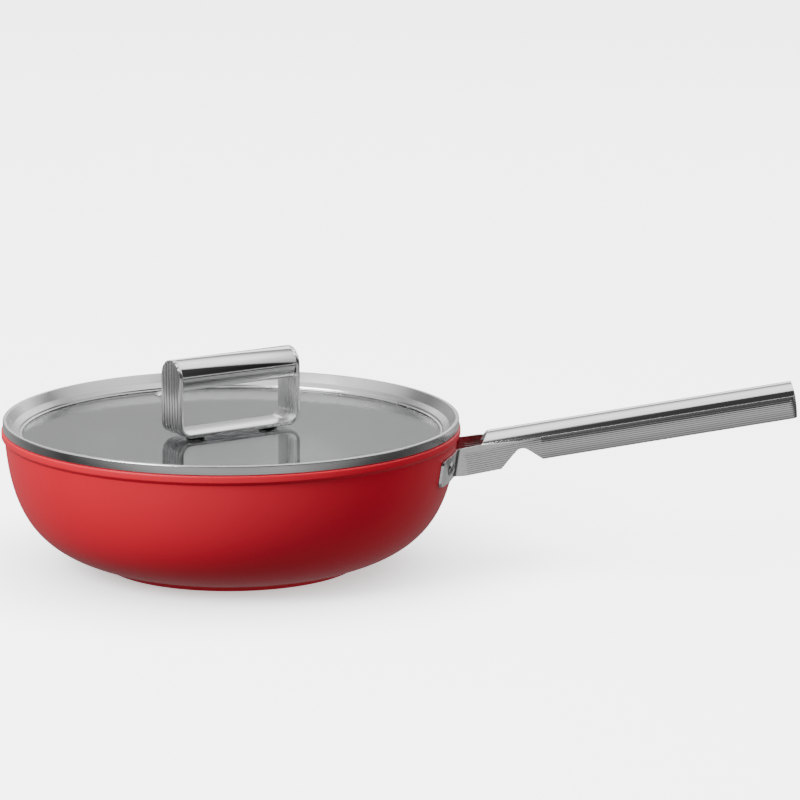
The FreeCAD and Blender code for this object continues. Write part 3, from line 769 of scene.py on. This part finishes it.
def finished(name: str, mesh: bmesh.types.BMesh, body: Body, slot: Slot, finish: Finish,
             *nodes: str) -> bpy.types.Object:
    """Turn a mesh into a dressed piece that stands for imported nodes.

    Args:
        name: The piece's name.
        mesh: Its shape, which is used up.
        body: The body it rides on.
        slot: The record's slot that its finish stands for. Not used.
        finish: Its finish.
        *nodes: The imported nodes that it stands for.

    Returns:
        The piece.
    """
    for face in mesh.faces:
        face.smooth = True
    for edge in mesh.edges:
        edge.smooth = edge.calc_face_angle(0.0) < SHARP
    data = bpy.data.meshes.new(name)
    mesh.to_mesh(data)
    mesh.free()
    piece = bpy.data.objects.new(name, data)
    bpy.context.scene.collection.objects.link(piece)
    data.materials.append(material_of(finish))
    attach(piece, body.value)
    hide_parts(*nodes)
    log.info("%s: %d faces, stands for %s", name, len(data.polygons), ", ".join(nodes))
    return piece


def dress(node: str, finish: Finish) -> None:
    """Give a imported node's own object a finish.

    Args:
        node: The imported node.
        finish: Its finish.
    """
    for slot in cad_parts[node].material_slots:
        slot.material = material_of(finish)
    log.info("%s: dressed in %s", node, finish.name)


# ================================================================ bowl
@dataclass
class Bowl:
    """The forged bowl, its lining and the disc in its foot."""

    height: float = 0.093
    mouth_radius: float = 0.1496
    mouth_round: float = 0.0007
    mouth_fit: float = 0.9              # keeps that round clear of the inner curve's end
    neck_radius: float = 0.1518
    lip_radius: float = 0.154
    lip_band: float = 0.0044
    lip_slope: float = 0.0022
    lip_round: float = 0.001
    foot_radius: float = 0.086
    foot_flare: float = 0.002
    foot_height: float = 0.0032
    foot_round: float = 0.0006
    floor_radius: float = 0.07
    floor_height: float = 0.0058
    lining: float = 0.0004
    recess_radius: float = 0.07505
    recess: float = 0.0016
    knuckle_angle: float = math.radians(14.0)
    wall_angle: float = math.radians(85.6)
    knuckle_hold: float = 0.633         # how far each end of a curve keeps its direction,
    neck_hold: float = 0.647            # as a share of the curve's width or height
    floor_hold: float = 0.915
    mouth_hold: float = 0.358
    # Its paler edges are partly rubbing and partly a painted highlight along the lip.
    red: Finish = Coating("red_coating", colour=(0.54, 0.008, 0.024), deep=(0.49, 0.007, 0.022),
                          edge_rub_and_highlight=(0.62, 0.05, 0.07), roughness=(0.40, 0.50))
    nonstick: Finish = Speckle("nonstick_coating", colour=(0.085, 0.085, 0.09),
                               speck=(0.26, 0.26, 0.27), roughness=(0.34, 0.46))
    disc: Finish = SpunSteel("turned_disc", grey(0.55), roughness=(0.3, 0.4),
                             line_height=0.00001, rings=1200.0)

    def outer_curve(self) -> list[Vector]:
        """Run the curve of the outside.

        Returns:
            Its points, from foot to neck.
        """
        foot = Vector((self.foot_radius + self.foot_flare, self.foot_height))
        neck = Vector((self.neck_radius, self.height - self.lip_band - self.lip_slope))
        out = (neck.x - foot.x) * self.knuckle_hold
        down = (neck.y - foot.y) * self.neck_hold
        return bezier([foot, foot + Vector((out, out * math.tan(self.knuckle_angle))),
                       neck - Vector((down / math.tan(self.wall_angle), down)), neck])

    def inner_curve(self, layer: float) -> list[Vector]:
        """Run the curve of the inside, or of what lies on it.

        Args:
            layer: Thickness of what lies on it.

        Returns:
            Its points, from floor to rim.
        """
        floor = Vector((self.floor_radius, self.floor_height + layer))
        rim = Vector((self.mouth_radius - layer, self.height - self.mouth_round))
        out = (self.mouth_radius - self.floor_radius) * self.floor_hold
        down = (rim.y - self.floor_height) * self.mouth_hold
        return bezier([floor, floor + Vector((out, 0.0)),
                       rim - Vector((down / math.tan(self.wall_angle), down)), rim])

    def build_shell(self) -> None:
        """Spin the red bowl with its lip, foot and recess."""
        points = [Vector((0.0, self.floor_height)), *self.inner_curve(0.0)]
        mouth = len(points)
        points += [Vector((self.mouth_radius, self.height)),
                   Vector((self.lip_radius, self.height)),
                   Vector((self.lip_radius, self.height - self.lip_band))]
        points += self.outer_curve()[::-1]
        foot = len(points)
        points += [Vector((self.foot_radius, 0.0)), Vector((self.recess_radius, 0.0)),
                   Vector((self.recess_radius, self.recess)), Vector((0.0, self.recess))]
        rounds = {mouth: self.mouth_round * self.mouth_fit, mouth + 1: self.lip_round,
                  mouth + 2: self.lip_round, foot: self.foot_round}
        finished("red_bowl", lathe(points, rounds), Body.WOK, Slot.RED, self.red, "wok_shell")

    def build_lining(self) -> None:
        """Spin the lining, which lies on the inside of the bowl."""
        points = [Vector((0.0, self.floor_height)), *self.inner_curve(0.0)]
        points += self.inner_curve(self.lining)[::-1]
        points.append(Vector((0.0, self.floor_height + self.lining)))
        finished("bowl_lining", lathe(points, {}), Body.WOK, Slot.NONSTICK, self.nonstick,
                 "nonstick_lining")

    def build(self) -> None:
        """Build and dress the bowl."""
        self.build_shell()
        self.build_lining()
        dress("induction_disc", self.disc)


# ================================================================ long handle
HANDLE_FRONT = Vector((0.172, 0.0, 0.0898))             # where the handle's own frame starts
HANDLE_TURN = Euler((0.0, -math.radians(9.4), 0.0))     # how much the handle rises


@dataclass
class LongHandle:
    """The long handle: ribbed strap with its fork, polished top, core and fixings."""

    top_soft: float = 0.00035
    ribbed: Finish = RibbedSteel("ribbed_strap_steel", grey(0.62), roughness=(0.15, 0.24),
                                 line_height=0.000004, origin=HANDLE_FRONT,
                                 turn=HANDLE_TURN, contrast=0.2)
    polished: Finish = LinedSteel("polished_handle_steel", grey(0.74), roughness=(0.07, 0.13),
                                  line_height=0.0000015, origin=HANDLE_FRONT,
                                  turn=HANDLE_TURN)
    core: Finish = LinedSteel("drawn_aluminium", (0.62, 0.62, 0.63), roughness=(0.4, 0.5),
                              line_height=0.00001, origin=HANDLE_FRONT, turn=HANDLE_TURN)
    fixing: Finish = plain_steel("fixing_steel")
    rivet: Finish = LinedSteel("headed_rivet_steel", grey(0.74), roughness=(0.1, 0.18),
                               line_height=0.000002)

    def build(self) -> None:
        """Build and dress the long handle."""
        dress("handle_strap", self.ribbed)
        finished("polished_top", softened("handle_top", self.top_soft), Body.WOK,
                 Slot.POLISHED, self.polished, "handle_top")
        dress("handle_core", self.core)
        for node in ("handle_studs", "handle_nuts"):
            dress(node, self.fixing)
        dress("pad_rivets", self.rivet)


# ================================================================ lid
LID_TURN = Euler((0.0, 0.0, math.radians(33.5)))        # how far the lid is turned on the rim


@dataclass
class Lid:
    """The glass, its spun ring and seal, and the steam vent."""

    rim: float = 0.093
    gauge: float = 0.0007
    glass_radius: float = 0.146
    glass_drop: float = 0.0036          # how far below the rim the glass's top lies
    glass_thick: float = 0.004
    glass_fit: float = 0.0011           # room round the sealed glass, and the skirt's bend
    seal: float = 0.0004
    skirt_radius: float = 0.1482
    ring_radius: float = 0.153
    lip_rise: float = 0.0066
    lip_width: float = 0.0019
    bend: float = 0.0006
    step_bend: float = 0.0015
    flange_lap: float = 0.0035          # how far the flange reaches in under the glass
    step_out: float = 0.0006            # foot of the inner wall, from the glass's edge
    step_rise: float = 0.0004           # and from the rim
    bead_lap: float = 0.0036            # how far in from the glass's edge the bead stands
    bead_height: float = 0.0017
    band_lap: float = 0.006             # how far in the ring ends on the glass
    spun: Finish = SpunSteel("spun_steel", grey(0.52), roughness=(0.22, 0.32),
                             line_height=0.000005)
    glass: Finish = ClearGlass("clear_glass", (0.96, 0.98, 0.975))
    silicone: Finish = Silicone("seal_silicone", grey(0.5), clear=0.5)
    # The eyelet's grey is set low partly as painted shade for the inside of its tube.
    vent: Finish = LinedSteel("vent_steel", grey(0.56), roughness=(0.16, 0.26),
                              line_height=0.000002)
    washer: Finish = plain_steel("washer_steel")

    def ring_line(self) -> tuple[list[Vector], dict[int, float]]:
        """Run the middle line of the ring's sheet.

        Returns:
            Its corners, from the flange under the glass to the inner edge on it, and the
            bend at each corner, by index.
        """
        half = self.gauge / 2
        skirt, outer = self.skirt_radius - half, self.ring_radius - half
        low = self.rim - self.glass_drop - self.glass_thick - self.seal - half
        glass = self.rim - self.glass_drop
        top, bead = self.rim + self.lip_rise - half, self.glass_radius - self.bead_lap
        places = [(self.glass_radius - self.flange_lap, low), (skirt, low),
                  (skirt, self.rim + half), (outer, self.rim + half), (outer, top),
                  (outer - self.lip_width, top),
                  (self.glass_radius + self.step_out, self.rim + self.step_rise),
                  (bead, glass + self.bead_height), (bead - self.bend, glass + half),
                  (self.glass_radius - self.band_lap, glass + half)]
        bends = [self.glass_fit + half] + [self.bend] * 4 + [self.step_bend] + [self.bend] * 2
        return [Vector(place) for place in places], dict(enumerate(bends, start=1))

    def build_ring(self) -> None:
        """Spin the ring's middle line and give it the sheet's thickness."""
        ring = finished("spun_ring", lathe(*self.ring_line()), Body.LID, Slot.RING, self.spun,
                        "lid_ring")
        sheet = ring.modifiers.new("sheet", "SOLIDIFY")
        sheet.thickness = self.gauge
        sheet.offset = 0.0
        sheet.use_even_offset = True

    def build(self) -> None:
        """Build and dress the lid."""
        self.build_ring()
        dress("lid_glass", self.glass)
        dress("ring_seal", self.silicone)
        dress("vent_eyelet", self.vent)
        dress("vent_washer", self.washer)


@dataclass
class LidHandle:
    """The bridge handle on the lid and what holds it through the glass."""

    loop_soft: float = 0.00018
    grip_soft: float = 0.0003
    satin: Finish = LoopSteel("satin_loop_steel", grey(0.77), roughness=(0.2, 0.3),
                              line_height=0.000003, turn=LID_TURN, lines=(7.0, 2400.0, 7.0),
                              contrast=0.16)
    polished: Finish = LinedSteel("polished_grip", grey(0.78), roughness=(0.06, 0.12),
                                  line_height=0.0000015, turn=LID_TURN)
    insert: Finish = LinedSteel("insert_steel", grey(0.6), roughness=(0.26, 0.36),
                                line_height=0.000005, turn=LID_TURN)
    fixing: Finish = plain_steel("screw_steel")
    rubber: Finish = Silicone("spacer_silicone", grey(0.016))

    def build(self) -> None:
        """Build and dress the lid's handle."""
        finished("loop_strap", softened("lid_loop", self.loop_soft), Body.LID, Slot.SATIN,
                 self.satin, "lid_loop")
        finished("grip_shell", softened("grip_top", self.grip_soft), Body.LID, Slot.POLISHED,
                 self.polished, "grip_top")
        finished("grip_block", softened("grip_insert", self.grip_soft), Body.LID, Slot.SATIN,
                 self.insert, "grip_insert")
        for node in ("lid_posts", "steel_washers", "lid_screws"):
            dress(node, self.fixing)
        for node in ("lid_grommets", "soft_washers"):
            dress(node, self.rubber)


# ================================================================ studio
@dataclass(frozen=True)
class Softbox:
    """A rectangular light that is aimed at the wok."""

    name: str
    place: Vector
    size: Pair                          # width and height
    power: float
    mirrored: bool = True               # whether steel and glass show it
    aim: Vector = Vector((0.06, 0.0, 0.06))

    def build(self) -> None:
        """Hang the light."""
        light = bpy.data.lights.new(self.name, "AREA")
        light.shape = "RECTANGLE"
        light.size, light.size_y = self.size
        light.energy = self.power
        lamp = bpy.data.objects.new(self.name, light)
        lamp.location = self.place
        lamp.rotation_euler = (self.aim - self.place).to_track_quat("-Z", "Y").to_euler()
        lamp.visible_glossy = self.mirrored
        bpy.context.scene.collection.objects.link(lamp)


@dataclass
class Studio:
    """Floor, soft surroundings, lights and camera."""

    elevation: float = math.radians(12.0)
    distance: float = 3.2
    sensor: float = 36.0                # width of the camera's sensor, in millimetres
    pixels: float = 800.0               # width and height of the picture
    scale: float = 1480.5               # pixels in a metre at the wok
    origin_column: float = 232.3        # where the origin lies in the picture
    origin_row: float = 560.0
    front: float = 0.5                  # where the front horizon lies on the sky's ramp
    # How bright the surroundings are, by angle from the front horizon over the top, in degrees.
    sky: tuple[Pair, ...] = (
        (-180.0, 0.6), (-90.0, 0.2), (-45.0, 0.35), (-20.0, 0.8), (-2.0, 0.95), (4.0, 0.12),
        (20.0, 0.06), (62.0, 0.06), (72.0, 2.2), (104.0, 2.7), (120.0, 2.0), (134.0, 0.5),
        (152.0, 0.42), (164.0, 0.75), (180.0, 0.7))
    flag_start: float = 0.55            # how far to either side the surroundings start to dim
    flag_level: float = 0.25            # and what share of them is left straight to the side
    backdrop: float = 4.6               # how bright they are where the camera sees them
    floor_size: float = 14.0
    floor_level: float = 0.8
    floor_drift: float = 4.0            # scale of the drift of its roughness
    floor_roughness: Pair = (0.6, 0.75)
    floor_gloss: float = 0.2
    floor_glow: float = 3.4             # how much light the floor adds of its own
    contact_shadow_glow: float = 0.6           # and what is left of that in the painted contact shadow where the wok touches it
    contact_reach: float = 0.09         # how far from the wok that painted shadow goes
    contact_samples: int = 12           # rays that look for the wok
    clearance: float = 0.00015          # keeps the floor off the foot's own underside
    lights: tuple[Softbox, ...] = (
        Softbox("key", Vector((-1.45, -1.3, 1.45)), size=(1.1, 1.1), power=108.0),
        Softbox("overhead", Vector((0.1, -0.05, 1.6)), size=(2.4, 1.0), power=17.0,
                mirrored=False),
        Softbox("back", Vector((0.4, 2.1, 1.1)), size=(2.4, 0.8), power=14.0),
        Softbox("side", Vector((2.0, -0.5, 0.65)), size=(0.6, 0.6), power=9.0,
                mirrored=False))

    def floor_paint(self) -> bpy.types.Material:
        """Make the floor's paint, which glows less where the wok stands, as a painted contact
        shadow.

        Returns:
            The paint.
        """
        graph = Graph("floor_paint")
        drift = graph.noise(graph.at, self.floor_drift)
        graph.feed("Roughness", graph.spread(drift, *self.floor_roughness))
        # Painted contact shadow: the floor's glow drops where the wok is near.
        near = graph.add("ShaderNodeAmbientOcclusion", samples=self.contact_samples)
        graph.fill(near, Distance=self.contact_reach)
        graph.feed("Emission Strength", graph.spread(
            near.outputs["AO"], self.contact_shadow_glow, self.floor_glow, 0.0, 1.0))
        graph.put(Base_Color=(*grey(self.floor_level), 1.0),
                  Specular_IOR_Level=self.floor_gloss, Emission_Color=(*grey(1.0), 1.0))
        return graph.material

    def build_floor(self) -> None:
        """Lay a wide floor, which takes shadows and throws no light back on the wok."""
        mesh = bmesh.new()
        bmesh.ops.create_grid(mesh, x_segments=1, y_segments=1, size=self.floor_size)
        bmesh.ops.translate(mesh, verts=mesh.verts, vec=Vector((0.0, 0.0, -self.clearance)))
        data = bpy.data.meshes.new("floor")
        mesh.to_mesh(data)
        mesh.free()
        floor = bpy.data.objects.new("floor", data)
        bpy.context.scene.collection.objects.link(floor)
        data.materials.append(self.floor_paint())
        floor.visible_diffuse = False
        floor.visible_glossy = False

    def build_sky(self) -> None:
        """Light all round: a dark band above the front horizon, white overhead."""
        world = bpy.data.worlds.new("studio")
        bpy.context.scene.world = world
        world.use_nodes = True
        sky = Nodes(world.node_tree)
        across, away, up = sky.split(sky.add("ShaderNodeTexCoord").outputs["Generated"])
        angle = sky.compute("ARCTAN2", up, sky.compute("MULTIPLY", away, -1.0))
        ramp = sky.add("ShaderNodeValToRGB")
        sky.join(sky.spread(angle, 0.0, 1.0, -math.pi, math.pi), ramp.inputs["Fac"])
        stops = ramp.color_ramp.elements
        while len(stops) < len(self.sky):
            stops.new(self.front)
        for stop, (degrees, level) in zip(stops, self.sky):
            stop.position = degrees / FULL_TURN + self.front
            stop.color = (*grey(level), 1.0)
        dim = sky.spread(sky.compute("ABSOLUTE", across), 1.0, self.flag_level,
                         self.flag_start, 1.0)
        around = sky.tree.nodes["Background"]
        sky.join(dim, around.inputs["Strength"])
        sky.join(ramp.outputs["Color"], around.inputs["Color"])
        behind = sky.fill(sky.add("ShaderNodeBackground"), Strength=self.backdrop)
        either = sky.add("ShaderNodeMixShader")
        sky.join(sky.add("ShaderNodeLightPath").outputs["Is Camera Ray"], either.inputs["Fac"])
        sky.join(around.outputs["Background"], either.inputs[1])
        sky.join(behind.outputs["Background"], either.inputs[2])
        sky.join(either.outputs["Shader"], sky.tree.nodes["World Output"].inputs["Surface"])

    def build_camera(self) -> None:
        """Set up a long lens that looks along +Y, a little from above."""
        across = (self.pixels / 2 - self.origin_column) / self.scale
        below = (self.origin_row - self.pixels / 2) / self.scale
        back = Vector((0.0, -math.cos(self.elevation), math.sin(self.elevation)))
        upward = Vector((0.0, math.sin(self.elevation), math.cos(self.elevation)))
        data = bpy.data.cameras.new("camera")
        data.sensor_width = self.sensor
        data.lens = self.sensor * self.distance * self.scale / self.pixels
        camera = bpy.data.objects.new("camera", data)
        camera.location = Vector((across, 0.0, 0.0)) + upward * below + back * self.distance
        camera.rotation_euler = Euler((math.pi / 2 - self.elevation, 0.0, 0.0))
        bpy.context.scene.collection.objects.link(camera)
        bpy.context.scene.camera = camera

    def build(self) -> None:
        """Set up the studio."""
        self.build_camera()
        self.build_floor()
        self.build_sky()
        for light in self.lights:
            light.build()
        log.info("studio: %d lights", len(self.lights))


def main() -> None:
    """Build the studio, then each sub-assembly in order."""
    logging.basicConfig(level=logging.INFO, format="%(name)s: %(message)s")
    for part in (Studio(), Bowl(), LongHandle(), Lid(), LidHandle()):
        part.build()


if __name__ == "__main__":
    main()
